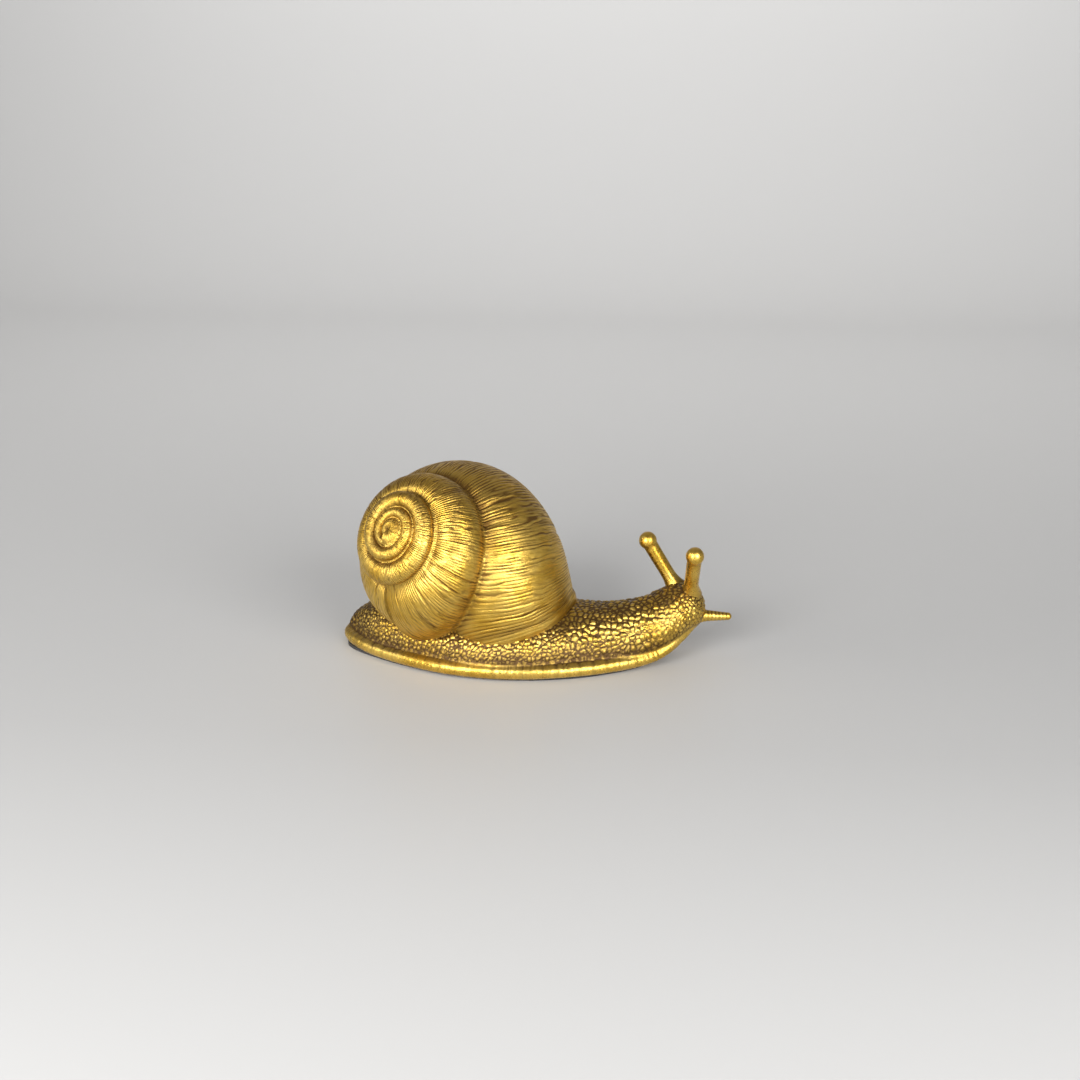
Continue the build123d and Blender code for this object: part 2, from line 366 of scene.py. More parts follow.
shellForm = {
    "apex": (-40.5, -25.5, 61.7),
    "axisHeading": 233.0,
    "axisTilt": 29.2,
    "seatHeight": 7.0,
    "samplesPerTurn": 840,
    "bodyWhorlRows": 66,
    "spireRows": (19, 13, 9),
    "baseRows": 14,
    "knobRows": 5,
    "weld": 0.02,
    "ribThinning": 0.6,  # how fast the ribs in a turn get fewer towards the apex, against the growth
    "ribNarrowing": 0.8,  # the power of the growth that their height follows
    "crowdingCurve": 1.3,
    "otherWander": 5.0,
    "weakestRib": 0.3,
    "ribTone": (0.1, 0.8),  # tones are shares of brown, from 0 to 1
    "ribNoises": {
        # pace along the shell, pace across the whorl, shift of the seed, detail, roughness
        "wander": (30.0, 1.2, 0.0, 3.0, 0.6),
        "swap": (17.0, 3.0, 2.0, 2.0, 0.5),
        "strength": (0.45, 5.0, 5.0, 2.0, 0.5),
        "growthLine": (0.32, 0.7, 9.0, 2.0, 0.5),
    },
    "swapRange": (0.42, 0.58),
    "strengthRange": (0.25, 0.7),
    "growthLineRange": (0.58, 0.68),
    "growthLineFade": (0.9, 1.6),
    "growthLineFading": 0.7,
    "growthLineTone": 0.5,
    "bandFade": 0.01,
    "bandEnd": (1.0, 1.2),
    "bandSmoothing": 0.8,
    "bandLine": (0.004, 0.005),
    "bandLineTone": 0.4,
    "spireStart": (1.2, 2.4),
    "spireDeepening": 0.5,
    "sutureWidth": (0.1, 0.16),  # of the last whorl and of the spire
    "sutureTone": (0.5, 0.9),
    "winding": {
        "mouthAngle": -92.4,
        "whorlGrowth": 1.41,
        "whorlCount": 6.15,
        "sutureRadius": 33.6,
        "sutureTaper": 1.2,
        "sutureDrop": 33.3,
        "sutureDome": 2.8,
        "sutureDepth": 0.55,
        "spireRise": 1.2,
        "baseFlare": 0.09,
        "baseFall": 2.53,
        "whorlBulge": 0.21,
        "spireBulge": 0.018,
        "bulgeLimit": 0.52,
        "hubDrop": 62.0,
        "baseSwing": 86.0,
        "baseSwingStart": 0.4,
        "mouthSwing": 20.0,
        "mouthSwingEnd": 0.14,
        "knobHeight": 3.0,
        "knobBulge": 0.3,
        "lipSpan": 0.454,
        "lipStart": 0.2,
        "lipSpread": 2.6,
        "lipFall": 38.1,
        "lipBandEdge": 0.272,
        "lipBandHeight": 0.7,
        "rimHeight": 4.5,
        "rimStart": 0.84,  # across the whorl, whose lower edge is 1
        "rimEnd": 1.4,
        "rimFullTurn": 0.16,
        "rimEndTurn": 0.32,
        "dipSpan": 0.257,
        "dipSpread": -0.4,
        "dipFall": 17.8,
        "ribsPerTurn": 205.0,
        "otherRibs": 0.71,  # the second set of ribs against the first
        "ribLean": 0.0225,
        "ribHeight": 0.22,
        "ribWander": 1.44,
        "crowdingStart": 0.4,
        "growthLineHeight": 0.5,
        "seed": 4.0,
    },
}


def growth(turn, size):
    last = size["whorlGrowth"] ** (-size["whorlCount"])
    return (size["whorlGrowth"] ** (-turn) - last) / (1.0 - last)


def suture(turn, size):
    reach = growth(turn, size) ** size["sutureTaper"]
    dip = (1.0 - turn / size["dipSpan"]).most(0.0) ** 2.0  # the last whorl sinks towards the mouth
    return (
        reach * size["sutureRadius"] + dip * size["dipSpread"],
        size["spireRise"] - reach ** size["sutureDome"] * size["sutureDrop"] - dip * size["dipFall"],
    )


def lowerEdge(turn, size):
    start = size["sutureRadius"], size["spireRise"] - size["sutureDrop"]
    held = turn.most(size["lipStart"])
    share = growth(held, size) / growth(turn * 0.0 + 1.0, size)
    lip = (1.0 - held / size["lipSpan"]).most(0.0) ** 2.0
    return (
        start[0] * share ** size["baseFlare"] + lip * size["lipSpread"],
        start[1] * share ** size["baseFall"] - lip * size["lipFall"],
    )


def halfAngle(bulge):
    return (bulge * 2.0).math("ARCTANGENT") * 2.0


def whorlHalf(turn, size):
    return halfAngle((size["whorlBulge"] + size["spireBulge"] * turn ** 3.0).least(size["bulgeLimit"]))


def arc(start, end, half, across):
    runR, runW = end[0] - start[0], end[1] - start[1]
    angle = half * (across * 2.0 - 1.0)
    along = angle.sin() / (half.sin() * 2.0)
    out = (angle.cos() - half.cos()) / (half.sin() * 2.0)
    middleR, middleW = (start[0] + end[0]) * 0.5, (start[1] + end[1]) * 0.5
    return middleR + runR * along - runW * out, middleW + runW * along + runR * out


def sheetGrid(tree, first, rows):
    columns = shellForm["samplesPerTurn"] + 1
    grid = node(tree, "GeometryNodeMeshGrid", VerticesX=columns, VerticesY=rows, SizeX=1.0, SizeY=1.0)
    x, y, _ = separate(tree, node(tree, "GeometryNodeInputPosition"))
    return grid, x + 0.5 + first, y + 0.5


def marked(tree, sheet, turn, across):
    for domain, names in (("POINT", ("turn", "across")), ("CORNER", ("faceTurn", "faceAcross"))):
        for name, value in zip(names, (turn, across)):
            sheet = stored(tree, sheet, name, value, domain)
    return sheet


def placed(tree, geometry, spot, turn, size):
    radius, rise = spot
    tilt = math.radians(shellForm["axisTilt"])
    axis = direction(shellForm["axisHeading"]) * math.cos(tilt)
    axis.z = math.sin(tilt)
    side = Vector((0, 0, 1)).cross(axis).normalized()
    up = axis.cross(side)
    angle = turn * fullTurn + size["mouthAngle"] * (math.pi / 180.0)
    outX, outY = angle.cos() * radius, angle.sin() * radius
    spots = [
        (outX * side[k] + outY * up[k] + rise * axis[k] + shellForm["apex"][k]) * mm
        for k in range(3)
    ]
    return node(tree, "GeometryNodeSetPosition", Geometry=geometry, Position=combine(tree, *spots))


def ribNoise(tree, key, along, across, size):
    pace, breadth, shift, detail, roughness = shellForm["ribNoises"][key]
    place = combine(tree, along * pace, across * breadth, size["seed"] + shift)
    return noise(tree, place, 1.0, detail, roughness)


def ribbing(tree, turn, across, size, crowding):
    # Ribs lie along the mouth's edge, and stand closer towards the mouth
    leaned = (turn ** 3.0 + (1.0 - across.least(1.0)) * size["ribLean"]) ** (1.0 / 3.0)
    thinning = math.log(shellForm["winding"]["whorlGrowth"]) * shellForm["ribThinning"]
    wound = (1.0 - (leaned * -thinning).math("EXPONENT")) / thinning
    wound = wound - (size["crowdingStart"] - leaned).most(0.0) ** shellForm["crowdingCurve"] * crowding
    wander = ribNoise(tree, "wander", leaned, across, size)
    phase = wound * size["ribsPerTurn"] + (wander - 0.5) * size["ribWander"]

    # Two sets of ribs take turns, so that ribs split and join
    other = phase * size["otherRibs"] + wander * shellForm["otherWander"]
    swap = ribNoise(tree, "swap", leaned, across, size).smooth(*shellForm["swapRange"])
    ridges = [1.0 - (0.5 - (p * fullTurn).sin() * 0.5) ** 2.0 for p in (phase, other)]
    ridge = swap.mixed(*ridges)
    strength = ribNoise(tree, "strength", phase, across, size).smooth(*shellForm["strengthRange"])

    # Growth lines are deep single cuts, fainter in the spire
    lines = ribNoise(tree, "growthLine", phase, across, size).smooth(*shellForm["growthLineRange"])
    cut = lines * (1.0 - turn.smooth(*shellForm["growthLineFade"]) * shellForm["growthLineFading"])

    # The smooth band along the lip and the dark line at its edge
    ahead, outside = size["lipBandEdge"], 1.0 - across.smooth(*shellForm["bandEnd"])
    before, behind = shellForm["bandLine"]
    band = (1.0 - leaned.smooth(ahead - shellForm["bandFade"], ahead)) * outside
    edge = leaned.smooth(ahead - before, ahead) * (1.0 - leaned.smooth(ahead, ahead + behind)) * outside
    plain = 1.0 - band * shellForm["bandSmoothing"]

    lift = (ridge - 1.0) * strength.mixed(shellForm["weakestRib"], 1.0) * size["ribHeight"]
    lift = (lift - cut * size["growthLineHeight"]) * plain
    dark = (1.0 - ridge) * strength.mixed(*shellForm["ribTone"]) + cut * shellForm["growthLineTone"]
    return leaned, band, lift, dark * plain + edge * shellForm["bandLineTone"]


def buildShell(material):
    tree, size = newTree("shellWinding", shellForm["winding"])
    turns = len(shellForm["spireRows"]) + 1
    sheets = []

    # The last whorl, from its suture to its lower edge
    grid, turn, across = sheetGrid(tree, 0.0, shellForm["bodyWhorlRows"])
    top, low = suture(turn, size), lowerEdge(turn, size)
    spot = arc(top, low, whorlHalf(turn, size), across)
    sheets.append(placed(tree, marked(tree, grid, turn, across), spot, turn, size))

    # Its base, which leaves the lower edge along the same tangent
    grid, turn, across = sheetGrid(tree, 0.0, shellForm["baseRows"])
    top, low = suture(turn, size), lowerEdge(turn, size)
    leave = (low[1] - top[1]).math("ARCTAN2", low[0] - top[0]) - whorlHalf(turn, size)
    hub = (turn * 0.0, -size["hubDrop"] + turn * 0.0)
    chord = (hub[1] - low[1]).math("ARCTAN2", hub[0] - low[0])
    limit = turn.smooth(size["mouthSwingEnd"], size["baseSwingStart"])
    limit = limit.mixed(size["mouthSwing"], size["baseSwing"]) * (math.pi / 180.0)
    swing = (leave - chord).math("FLOORED_MODULO", fullTurn).least(limit)
    spot = arc(low, hub, swing, across)
    sheets.append(placed(tree, marked(tree, grid, turn, across + 1.0), spot, turn, size))

    # The whorls of the spire, each between two neighbouring turns of the suture
    for whorl, rows in enumerate(shellForm["spireRows"], 1):
        grid, turn, across = sheetGrid(tree, float(whorl), rows)
        spot = arc(suture(turn, size), suture(turn - 1.0, size), whorlHalf(turn, size), across)
        sheets.append(placed(tree, marked(tree, grid, turn, across), spot, turn, size))

    # The knob at the apex
    grid, turn, across = sheetGrid(tree, turns - 1.0, shellForm["knobRows"])
    tip = (turn * 0.0, size["knobHeight"] + turn * 0.0)
    spot = arc(tip, suture(turn, size), halfAngle(size["knobBulge"]), across)
    sheets.append(placed(tree, marked(tree, grid, turn + 1.0, across), spot, turn, size))

    weld = shellForm["weld"] * mm
    joined = node(tree, "GeometryNodeJoinGeometry", Geometry=sheets[::-1])
    welded = node(tree, "GeometryNodeMergeByDistance", Geometry=joined, Distance=weld)

    # Growth ribs, the sunk suture and the flared rim at the mouth
    turn, across = named(tree, "turn"), named(tree, "across")
    _, band, ribs, _ = ribbing(tree, turn, across, size, 0.0)
    width = growth((turn - 1.0).most(0.0), size) ** shellForm["ribNarrowing"]
    inSpire = turn.smooth(*shellForm["spireStart"])
    sunk = inSpire.mixed(*shellForm["sutureWidth"])
    hollow = 1.0 - (across * (1.0 - across)).most(0.0).smooth(0.0, sunk)
    rim = across.smooth(size["rimStart"], 1.0) * (1.0 - across.smooth(1.0, size["rimEnd"]))
    rim = rim * (1.0 - turn.smooth(size["rimFullTurn"], size["rimEndTurn"]))
    deep = width + inSpire * shellForm["spireDeepening"]
    lift = ribs * width - hollow * deep * size["sutureDepth"]
    lift = lift + rim * size["rimHeight"] + band * size["lipBandHeight"]
    ribbed = pushed(tree, welded, lift * -mm)  # the sheets are wound with their backs outward
    # The suture's brown is patina, and its deepening towards the spire is painted shade
    groove = (hollow * inSpire.mixed(*shellForm["sutureTone"])).least(1.0)
    finishTree(tree, stored(tree, ribbed, "groove", groove), material)

    shell = grown(newPiece("shellPiece"), tree, shellForm["winding"])
    cutAt(shell, shellForm["seatHeight"] * mm)
    closed(shell, weld)
    smoothShaded(shell)
    return shell


# Body

headForm = {
    "centre": (71.5, 7.2, 20.7),
    "radius": 10.5,
    "turn": 47.0,
    "segments": (64, 40),
    "stalkForward": 1.0,
    "stalkSide": 4.8,
    "stalkLean": (-7.1, 8.2, 17.8),
    "feelerSide": 5.2,
    "feelerBelow": 4.1,
    "feelerSplay": 47.0,
}

bodyForm = {
    "padThickness": 1.2,
    "lipHeight": 5.6,
    "lipRadius": 2.7,
    "lipSteps": 80,
    "lipPoints": 20,
    "footOutline": (
        (-69.0, 12.0, 0.0),
        (-61.5, 22.0, 0.0),
        (-48.5, 27.5, 0.0),
        (-24.0, 31.0, 0.0),
        (0.0, 29.0, 0.0),
        (46.0, 18.5, 0.0),
        (63.0, 13.0, 2.0),
        (75.5, 11.5, 9.0),
        (80.5, 8.0, 13.5),
        (77.0, 0.5, 10.5),
        (64.5, -8.5, 1.8),
        (46.0, -18.5, 0.0),
        (22.0, -27.0, 0.0),
        (0.0, -29.0, 0.0),
        (-24.0, -25.4, 0.0),
        (-48.5, -13.5, 0.0),
        (-63.5, -0.5, 0.0),
    ),
    "backStations": (
        # x, y, height of the middle, half width, half height, heading, squareness
        (-67.5, 12.0, 4.0, 2.0, 2.0, 0.0, 2.0),
        (-64.0, 12.0, 4.0, 6.5, 8.5, 0.0, 2.1),
        (-53.0, 8.5, 4.0, 15.5, 15.5, 0.0, 2.3),
        (-34.0, 4.0, 4.0, 21.5, 17.5, 0.0, 2.5),
        (-10.0, 0.0, 4.0, 26.4, 17.5, 0.0, 2.7),
        (14.0, 0.0, 4.0, 26.0, 19.5, 0.0, 2.5),
        (40.0, 0.0, 4.0, 17.8, 19.8, 0.0, 2.2),
        (57.0, 1.5, 12.5, 12.2, 14.0, 20.0, 2.0),
        (66.5, 3.8, 18.8, 10.8, 11.2, 40.0, 2.0),
        (73.5, 9.0, 20.8, 9.6, 9.8, 47.0, 2.0),
        (77.0, 13.0, 21.0, 6.4, 6.8, 47.0, 2.0),
        (79.0, 15.1, 21.0, 2.0, 2.2, 47.0, 2.0),
    ),
    "ringsPerStation": 10,
    "ringPoints": 72,
    "remeshSize": 0.53,
    "smoothSteps": 6,
    "lipEdge": (2.9, 3.6),  # distances from the middle of the lip
    "skinEdge": (3.1, 4.2),
    "creaseStart": (2.7, 3.2),
    "creaseEnd": (3.3, 4.2),
    "skinRise": (1.8, 2.8),  # heights over the floor
    "lipRise": (1.6, 2.6),
    "shadeRise": (4.0, 17.0),
    "neckStart": (18.0, 34.0),  # places along the body
    "neckEnd": (58.0, 72.0),
    "neckRise": (2.0, 9.0),
    "neckSlope": 0.25,
    "pebbleRandom": 0.9,
    "bigPebbleRandom": 0.85,
    "pebbleRadius": 0.46,  # shares of a pebble's cell
    "pebbleGap": 0.2,
    "pebbleLevel": 0.6,
    "dentPace": 0.35,
    "dentWander": 6.0,
    "dentRange": (0.35, 0.65),
    "creaseTone": 0.5,
    "shadeTone": 0.9,
    "combTone": 0.35,
    "skin": {
        "pebbleSize": 1.75,
        "bigPebbleSize": 2.35,
        "pebbleHeight": 0.5,
        "bigPebbleHeight": 0.8,
        "lipGroovePitch": 1.9,
        "lipGrooveDepth": 0.22,
        "seed": 2.0,
    },
}


def splined(points, steps, loop):
    points = np.asarray(points, float)
    count = len(points)
    spans = count if loop else count - 1
    found = []
    for k in range(spans):
        picks = [k - 1, k, k + 1, k + 2]
        picks = [i % count if loop else min(max(i, 0), count - 1) for i in picks]
        a, b, c, d = points[picks]
        for t in np.arange(steps) / steps:
            found.append(
                0.5 * (2 * b + (c - a) * t + (2 * a - 5 * b + 4 * c - d) * t**2
                       + (3 * b - a - 3 * c + d) * t**3)
            )
    if not loop:
        found.append(points[-1])
    return np.array(found)


def tubeFaces(rings, points, loop):
    spans = rings if loop else rings - 1
    faces = []
    for r in range(spans):
        for p in range(points):
            q, s = (p + 1) % points, (r + 1) % rings
            faces.append((r * points + p, r * points + q, s * points + q, s * points + p))
    if not loop:
        faces.append(tuple(range(points))[::-1])
        faces.append(tuple(range((rings - 1) * points, rings * points)))
    return faces


def around(points):
    return np.linspace(0, 2 * np.pi, points, endpoint=False)


def backForm():
    stations = splined(bodyForm["backStations"], bodyForm["ringsPerStation"], False)
    points = []
    for x, y, z, wide, high, turn, square in stations:
        side = direction(turn + 90.0)
        for a in around(bodyForm["ringPoints"]):
            across = math.copysign(abs(math.cos(a)) ** (2 / square), math.cos(a)) * wide
            rise = math.copysign(abs(math.sin(a)) ** (2 / square), math.sin(a)) * high
            points.append((x + side.x * across, y + side.y * across, z + rise))
    return points, tubeFaces(len(stations), bodyForm["ringPoints"], False)


def lipSides(path, k):
    run = Vector(path[(k + 1) % len(path)] - path[k - 1]).normalized()
    out = Vector((0, 0, 1)).cross(run).normalized()
    return out, run.cross(out)


def lipPath():
    base = np.array(bodyForm["footOutline"], float)
    base[:, 2] += bodyForm["padThickness"] + bodyForm["lipHeight"] / 2
    outer = splined(base, bodyForm["lipSteps"], True)
    inner = [Vector(p) - lipSides(outer, k)[0] * bodyForm["lipRadius"] for k, p in enumerate(outer)]
    return np.array(inner)


def lipForm(path):
    points = []
    for k, here in enumerate(path):
        out, up = lipSides(path, k)
        for a in around(bodyForm["lipPoints"]):
            reach = out * math.cos(a) * bodyForm["lipRadius"]
            rise = up * math.sin(a) * bodyForm["lipHeight"] / 2
            points.append(tuple(Vector(here) + reach + rise))
    return points, tubeFaces(len(path), bodyForm["lipPoints"], True)


def soleForm(path):
    count = len(path)
    ring = [Vector(p) for p in path]
    under = [(p.x, p.y, p.z - bodyForm["lipHeight"] / 2) for p in ring]
    over = [(p.x, p.y, p.z + bodyForm["lipHeight"] / 2) for p in ring]
    underMiddle = (np.mean(under, axis=0)[0], 0.0, bodyForm["padThickness"])
    points = [*under, *over, underMiddle, tuple(np.mean(over, axis=0))]
    faces = []
    for k in range(count):
        n = (k + 1) % count
        faces.append((k, n, count + n, count + k))
        faces.append((n, k, 2 * count))
        faces.append((count + k, count + n, 2 * count + 1))
    return points, faces


def ballForm():
    turn = math.radians(headForm["turn"])
    columns, rows = headForm["segments"]
    made = bmesh.new()
    bmesh.ops.create_uvsphere(made, u_segments=columns, v_segments=rows, radius=headForm["radius"])
    bmesh.ops.transform(made, matrix=Matrix.Rotation(turn, 4, "Z"), verts=made.verts)
    bmesh.ops.translate(made, vec=Vector(headForm["centre"]), verts=made.verts)
    made.verts.ensure_lookup_table()
    points = [tuple(v.co) for v in made.verts]
    faces = [tuple(v.index for v in f.verts) for f in made.faces]
    made.free()
    return points, faces


def castBody(path):
    points, faces = [], []
    for formPoints, formFaces in (backForm(), lipForm(path), soleForm(path), ballForm()):
        shift = len(points)
        points += [Vector(p) * mm for p in formPoints]
        faces += [tuple(i + shift for i in f) for f in formFaces]
    body = newPiece("bodyPiece", points, faces)
    remesh = body.modifiers.new("remesh", "REMESH")
    remesh.mode = "VOXEL"
    remesh.voxel_size = bodyForm["remeshSize"] * mm
    soften = body.modifiers.new("soften", "SMOOTH")
    soften.factor = 0.5
    soften.iterations = bodyForm["smoothSteps"]
    return applied(body)


def settled(mesh):
    spots = np.empty(len(mesh.vertices) * 3)
    mesh.vertices.foreach_get("co", spots)
    spots = spots.reshape(-1, 3)
    spots[:, 2] = np.maximum(spots[:, 2], bodyForm["padThickness"] * mm)
    mesh.vertices.foreach_set("co", spots.ravel())
    return spots


def measureLip(mesh, spots, path):
    finder = KDTree(len(path))
    for k, spot in enumerate(path):
        finder.insert(Vector(spot) * mm, k)
    finder.balance()
    lengths = np.concatenate([[0], np.cumsum(np.linalg.norm(np.diff(path, axis=0), axis=1))])
    near, along = np.empty(len(spots)), np.empty(len(spots))
    for k, spot in enumerate(spots):
        _, which, gap = finder.find(spot)
        near[k], along[k] = gap / mm, lengths[which]
    measured(mesh, "lipGap", near)
    measured(mesh, "lipRun", along)
    mesh.update()


def buildBody(material):
    path = lipPath()
    body = castBody(path)
    measureLip(body.data, settled(body.data), path)

    tree, size = newTree("bodySkin", bodyForm["skin"])
    x, y, z = [s / mm for s in separate(tree, node(tree, "GeometryNodeInputPosition"))]
    lipGap, lipRun = named(tree, "lipGap"), named(tree, "lipRun")
    onLip = 1.0 - lipGap.smooth(*bodyForm["lipEdge"])
    onSkin = z.smooth(*bodyForm["skinRise"]) * lipGap.smooth(*bodyForm["skinEdge"])

    # Small pebbles on the flanks and tail, large ones on the neck behind the shell's lip
    onNeck = x.smooth(*bodyForm["neckStart"]) * (1.0 - x.smooth(*bodyForm["neckEnd"]))
    onNeck = onNeck * (z + y.math("ABSOLUTE") * -bodyForm["neckSlope"]).smooth(*bodyForm["neckRise"])
    domes, creases = [], []
    for key in ("pebble", "bigPebble"):
        wide = size[key + "Size"]
        cells = combine(tree, x / wide, y / wide, z / wide + size["seed"])
        edge = node(
            tree, "ShaderNodeTexVoronoi", {"feature": "DISTANCE_TO_EDGE"}, Vector=cells, Scale=1.0,
            Randomness=bodyForm[key + "Random"],
        )
        flat = 1.0 - (edge / bodyForm["pebbleRadius"]).least(1.0)
        domes.append(1.0 - flat * flat)
        creases.append(1.0 - edge.smooth(0.0, bodyForm["pebbleGap"]))
    high = onNeck.mixed(size["pebbleHeight"], size["bigPebbleHeight"])
    pebbleLift = (onNeck.mixed(*domes) - bodyForm["pebbleLevel"]) * high * onSkin
    gaps = onNeck.mixed(*creases)

    # Dents across the lip, in patches
    place = combine(tree, lipRun * bodyForm["dentPace"], 0.0, size["seed"])
    dents = noise(tree, place, 1.0, 3.0, 0.6)
    comb = (lipRun / size["lipGroovePitch"] + dents * bodyForm["dentWander"]) * fullTurn
    comb = 1.0 - (0.5 - comb.sin() * 0.5) * dents.smooth(*bodyForm["dentRange"])
    combLift = (comb - 1.0) * size["lipGrooveDepth"] * onLip * z.smooth(*bodyForm["lipRise"])
    shaped = pushed(tree, size["Geometry"], (pebbleLift + combLift) * mm)

    # Brown lies between the pebbles and in the crease over the lip, and painted shade darkens the
    # flanks low down
    low = 1.0 - z.smooth(*bodyForm["shadeRise"])
    crease = lipGap.smooth(*bodyForm["creaseStart"]) * (1.0 - lipGap.smooth(*bodyForm["creaseEnd"]))
    groove = gaps * onSkin + (1.0 - comb) * onLip * bodyForm["combTone"]
    groove = groove + crease * bodyForm["creaseTone"] + low * onSkin * bodyForm["shadeTone"]
    finishTree(tree, stored(tree, shaped, "groove", groove.least(1.0)), material)
    grown(body, tree, bodyForm["skin"])
    smoothShaded(body)
    return body


# Tentacles

stalkForm = {
    "length": 20.9,
    "sink": 3.2,
    "rootStart": -1.5,
    "rootRadius": 4.3,
    "rootLength": 7.0,
    "rootCurve": 2.2,
    "sunkFlare": 0.6,
    "radius": 2.8,
    "neckRadius": 2.95,
    "eyeRadius": 3.65,
    "stemRings": 28,
    "eyeRings": 30,
    "eyeStart": 0.06,  # of the sweep from the neck over the eye
    "ringPoints": 48,
    "sunkTone": 0.3,
    "rootTone": 0.35,
    "neckTone": 0.3,
    "neckTonePart": 0.1,  # of the stem's length
}

feelerForm = {
    "length": 12.0,
    "sink": 3.0,
    "rootStart": -1.5,
    "rootRadius": 3.3,
    "rootLength": 4.0,
    "radius": 2.7,
    "tipRadius": 1.6,
    "ringPitch": 1.5,
    "ringDepth": 0.1,
    "stemRings": 60,
    "tipRings": 14,
    "ringPoints": 40,
    "sunkTone": 0.3,
    "ringTone": 0.4,
}


def stalkProfile():
    form, eyeAt, eye = stalkForm, stalkForm["length"], stalkForm["eyeRadius"]
    rows = [(-form["sink"], form["rootRadius"] + form["sunkFlare"], form["sunkTone"])]
    meet = eyeAt - math.sqrt(eye**2 - form["neckRadius"] ** 2)
    for t in np.linspace(0.0, 1.0, form["stemRings"]):
        reach = form["rootStart"] + (meet - form["rootStart"]) * t
        fade = max(1.0 - (reach - form["rootStart"]) / form["rootLength"], 0.0) ** form["rootCurve"]
        slim = form["radius"] + (form["neckRadius"] - form["radius"]) * t
        nearEye = max(t - 1.0 + form["neckTonePart"], 0.0) / form["neckTonePart"]
        tone = form["rootTone"] * fade + form["neckTone"] * nearEye
        rows.append((reach, slim + (form["rootRadius"] - slim) * fade, tone))
    sweep = math.pi - math.acos((eyeAt - meet) / eye)
    for t in np.linspace(form["eyeStart"], 1.0, form["eyeRings"]):
        angle = sweep * (1.0 - t)
        rows.append((eyeAt + math.cos(angle) * eye, max(math.sin(angle) * eye, 0.0), 0.0))
    return rows


def feelerProfile():
    form, stem = feelerForm, feelerForm["length"] - feelerForm["tipRadius"]
    rows = [(-form["sink"], form["rootRadius"], form["sunkTone"])]
    for t in np.linspace(0.0, 1.0, form["stemRings"]):
        reach = form["rootStart"] + (stem - form["rootStart"]) * t
        fade = max(1.0 - (reach - form["rootStart"]) / form["rootLength"], 0.0) ** 2
        slim = form["radius"] + (form["tipRadius"] - form["radius"]) * t
        ring = 0.5 - 0.5 * math.cos(fullTurn * reach / form["ringPitch"])
        ring *= min(max(reach, 0.0), 1.0)
        radius = slim + (form["rootRadius"] - slim) * fade - ring * form["ringDepth"]
        rows.append((reach, radius, ring * form["ringTone"]))
    end = rows[-1][1]
    for angle in np.linspace(0.0, math.pi / 2, form["tipRings"])[1:]:
        rows.append((stem + math.sin(angle) * end, math.cos(angle) * end, 0.0))
    return rows


def lathed(name, rows, frame, points, material):
    spots, tones = [], []
    for reach, radius, tone in rows:
        for a in around(points):
            local = Vector((math.cos(a) * radius, math.sin(a) * radius, reach))
            spots.append((frame @ local) * mm)
            tones.append(tone)
    piece = newPiece(name, spots, tubeFaces(len(rows), points, False))
    measured(piece.data, "groove", tones)
    piece.data.materials.append(material)
    closed(piece, 1e-6)
    smoothShaded(piece)
    return piece


def headFrame(forward, side, up, along):
    ahead, left = direction(headForm["turn"]), direction(headForm["turn"] + 90.0)
    frame = along.normalized().to_track_quat("Z", "Y").to_matrix().to_4x4()
    frame.translation = Vector(headForm["centre"]) + ahead * forward + left * side + Vector((0, 0, up))
    return frame


def buildTentacles(material):
    ahead, left = direction(headForm["turn"]), direction(headForm["turn"] + 90.0)
    made = {}
    for name, sign in (("right", -1.0), ("left", 1.0)):
        forward, side = headForm["stalkForward"], headForm["stalkSide"] * sign
        up = math.sqrt(headForm["radius"] ** 2 - forward**2 - side**2)
        back, out, rise = headForm["stalkLean"]
        aim = ahead * back + left * out * sign + Vector((0, 0, rise))
        frame = headFrame(forward, side, up, aim)
        made[name + "_eye_stalk"] = lathed(
            name + "EyeStalk", stalkProfile(), frame, stalkForm["ringPoints"], material
        )

        side, below = headForm["feelerSide"] * sign, headForm["feelerBelow"]
        forward = math.sqrt(headForm["radius"] ** 2 - side**2 - below**2)
        splay = direction(headForm["turn"] + headForm["feelerSplay"] * sign)
        frame = headFrame(forward, side, -below, splay)
        made[name + "_feeler"] = lathed(
            name + "Feeler", feelerProfile(), frame, feelerForm["ringPoints"], material
        )
    return made


# Stage

floor = {
    "side": 2600.0,
    "coveStart": 700.0,
    "coveRadius": 500.0,
    "coveSteps": 33,
    "colour": (0.435, 0.431, 0.424),
    "roughness": 0.5,
    "gloss": 0.3,
}

camera = {
    "heading": 5.0,
    "height": 19.0,
    "distance": 661.0,
    "lens": 53.33,
    "sensor": 36.0,
    "photoSide": 1080.0,  # in pixels
    "photoOrigin": (504.5, 655.0),  # where the frame's origin lies in the photo, in pixels
    "nearest": 10.0,
}

lamps = {
    # place, aim, power in watts, width, height
    "keyLight": ((-300, -640, 330), (0, 0, 35), 7.4, 420, 520),
    "sideLight": ((-640, -160, 300), (0, 0, 35), 1.3, 220, 360),
    "fillLight": ((420, -600, 320), (0, 0, 35), 6.6, 460, 500),
    "wallLight": ((0, 300, 900), (0, 1250, 500), 16.0, 1600, 400),
}

sky = {"level": (0.60, 0.60, 0.62), "top": (0.03, 0.03, 0.035), "topHeight": 0.8, "strength": 0.78}


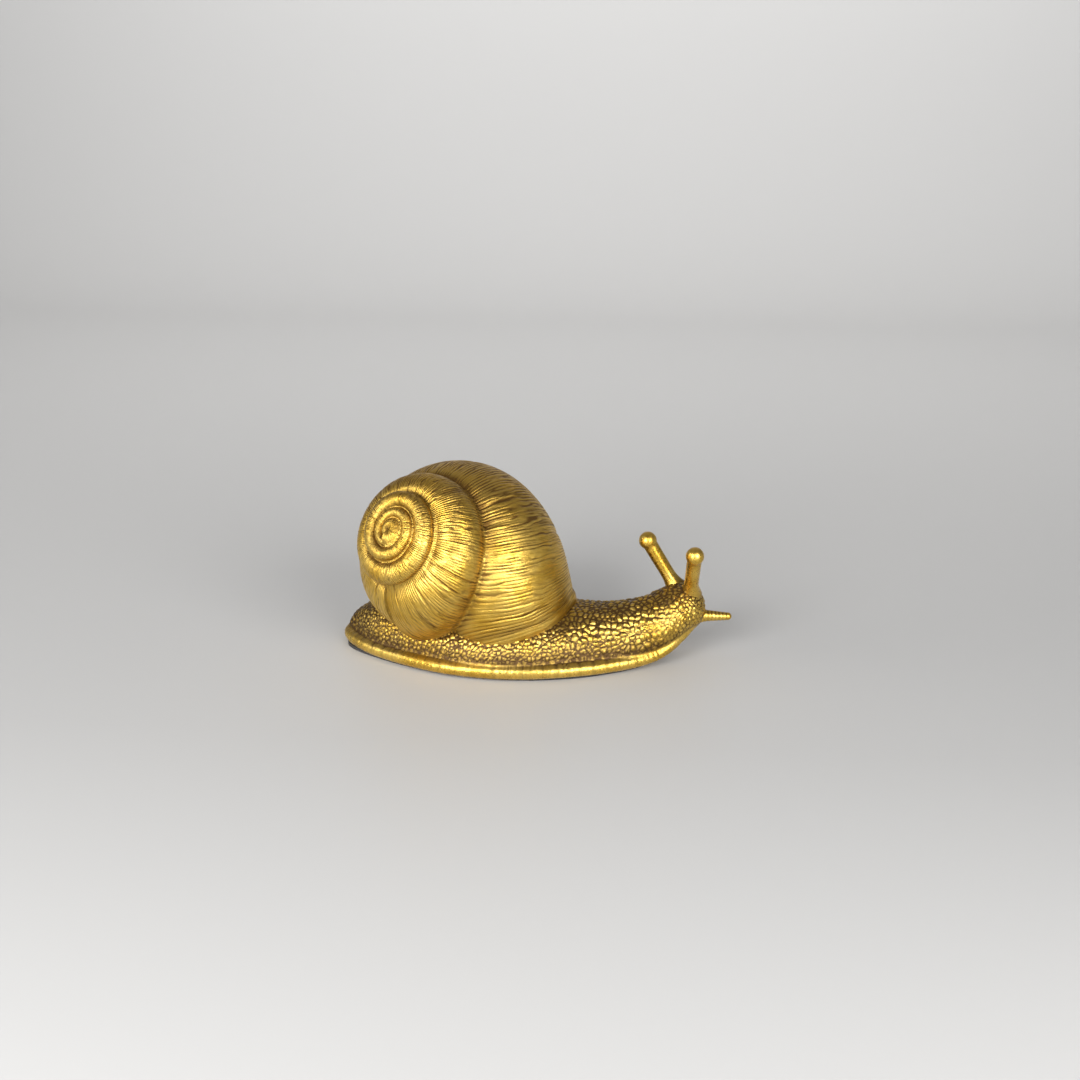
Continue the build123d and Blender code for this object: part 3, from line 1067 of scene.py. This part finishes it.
def buildBackdrop():
    side, turn = floor["side"] * mm, floor["coveRadius"] * mm
    start = floor["coveStart"] * mm
    profile = [(-side, 0.0)]
    for angle in np.linspace(0.0, math.pi / 2, floor["coveSteps"]):
        profile.append((start + math.sin(angle) * turn, turn - math.cos(angle) * turn))
    profile.append((start + turn, side))
    points = [(x, y, z) for y, z in profile for x in (-side, side)]
    faces = [(2 * k, 2 * k + 1, 2 * k + 3, 2 * k + 2) for k in range(len(profile) - 1)]
    ground = newPiece("backdropPiece", points, faces)
    smoothShaded(ground)
    material, tree, shader = newMaterial("backdropLook")
    feed(tree, shader.inputs["Base Color"], (*floor["colour"], 1.0))
    feed(tree, shader.inputs["Roughness"], floor["roughness"])
    feed(tree, shader.inputs["Specular IOR Level"], floor["gloss"])
    ground.data.materials.append(material)


def buildCamera():
    heading, height = math.radians(camera["heading"]), math.radians(camera["height"])
    right = Vector((math.cos(heading), math.sin(heading), 0))
    back = Vector((
        math.sin(heading) * math.cos(height), -math.cos(heading) * math.cos(height), math.sin(height)
    ))
    up = back.cross(right)
    focal = camera["lens"] / camera["sensor"] * camera["photoSide"]
    perPixel = camera["distance"] / focal
    middle = camera["photoSide"] / 2
    target = right * (middle - camera["photoOrigin"][0]) * perPixel
    target += up * (camera["photoOrigin"][1] - middle) * perPixel
    lens = bpy.data.cameras.new("camera")
    lens.lens, lens.sensor_width = camera["lens"], camera["sensor"]
    lens.clip_start = camera["nearest"] * mm
    frame = Matrix((right, up, back)).transposed().to_4x4()
    frame.translation = (target + back * camera["distance"]) * mm
    eye = linked("camera", lens)
    eye.matrix_world = frame
    bpy.context.scene.camera = eye


def buildLamps():
    for name, (spot, aim, power, width, tall) in lamps.items():
        lamp = bpy.data.lights.new(name, "AREA")
        lamp.shape, lamp.energy = "RECTANGLE", power
        lamp.size, lamp.size_y = width * mm, tall * mm
        place = Vector(spot) * mm
        turned = (place - Vector(aim) * mm).to_track_quat("Z", "Y").to_matrix().to_4x4()
        linked(name, lamp).matrix_world = Matrix.Translation(place) @ turned


def buildSky():
    world = bpy.data.worlds.new("studio")
    world.use_nodes = True
    tree = world.node_tree
    height = separate(tree, node(tree, "ShaderNodeTexCoord"))[2]
    tone = mixColour(tree, height.smooth(0.0, sky["topHeight"]), sky["level"], sky["top"])
    feed(tree, tree.nodes["Background"].inputs["Color"], tone)
    feed(tree, tree.nodes["Background"].inputs["Strength"], sky["strength"])
    bpy.context.scene.world = world
    bpy.context.scene.view_settings.view_transform = "Standard"


# The figurine

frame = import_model()
print("loaded the frame")

shell = buildShell(goldMaterial("shellGold", shellLook))
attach(shell, "root")
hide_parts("shell")
print("shell", len(shell.data.polygons))

body = buildBody(goldMaterial("bodyGold", bodyLook))
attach(body, "root")
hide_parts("body")
print("body", len(body.data.polygons))

tentacles = buildTentacles(goldMaterial("tentacleGold", tentacleLook))
for nodeName, piece in tentacles.items():
    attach(piece, "root")
    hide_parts(nodeName)
print("tentacles", len(tentacles))

padLook = plainMaterial("padLook", feltLook)
steelLook = plainMaterial("steelLook", wireLook)
for nodeName, shown in frame["nodes"].items():
    if nodeName == "felt_pad":
        shown.data.materials.clear()
        shown.data.materials.append(padLook)
    elif nodeName.endswith("_wire") or nodeName == "shell_dowels":
        shown.data.materials.clear()
        shown.data.materials.append(steelLook)
print("pad, wires and dowels")

buildBackdrop()
buildCamera()
buildLamps()
buildSky()
print("stage")
